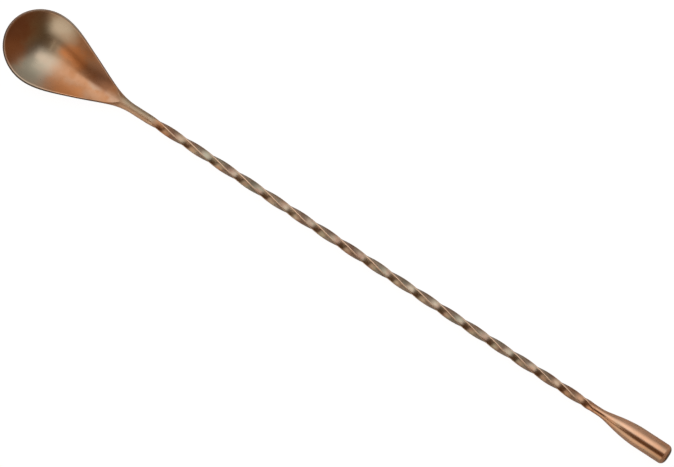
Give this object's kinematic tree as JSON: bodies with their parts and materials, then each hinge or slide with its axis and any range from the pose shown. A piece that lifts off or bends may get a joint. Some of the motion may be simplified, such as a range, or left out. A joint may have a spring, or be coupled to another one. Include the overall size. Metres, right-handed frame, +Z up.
{
  "type": "bar spoon",
  "caption": "Long bar spoon with a pointed oval bowl, a twisted square shaft and a drop-shaped weight with a small flat end.",
  "frame": {"origin": "middle of the bounding box's bottom face: the surface that the spoon lies on, under the middle of its length", "axes": "+X along the shaft from the bowl to the weight, +Z up out of the bowl's hollow"},
  "size_m": [0.3, 0.0294, 0.008],
  "materials": {
    "bowl_copper": "antique copper plate on stainless steel, satin",
    "shaft_copper": "antique copper plate on stainless steel, satin with darkened hollows",
    "weight_copper": "antique copper plate on stainless steel, satin",
    "filler": "brazing filler, dressed flush and plated over"
  },
  "bodies": {
    "root": {"spoon_bowl": "bowl_copper", "twisted_shaft": "shaft_copper", "drop_weight": "weight_copper", "neck_braze": "filler", "weight_braze": "filler"}
  },
  "joints": []
}
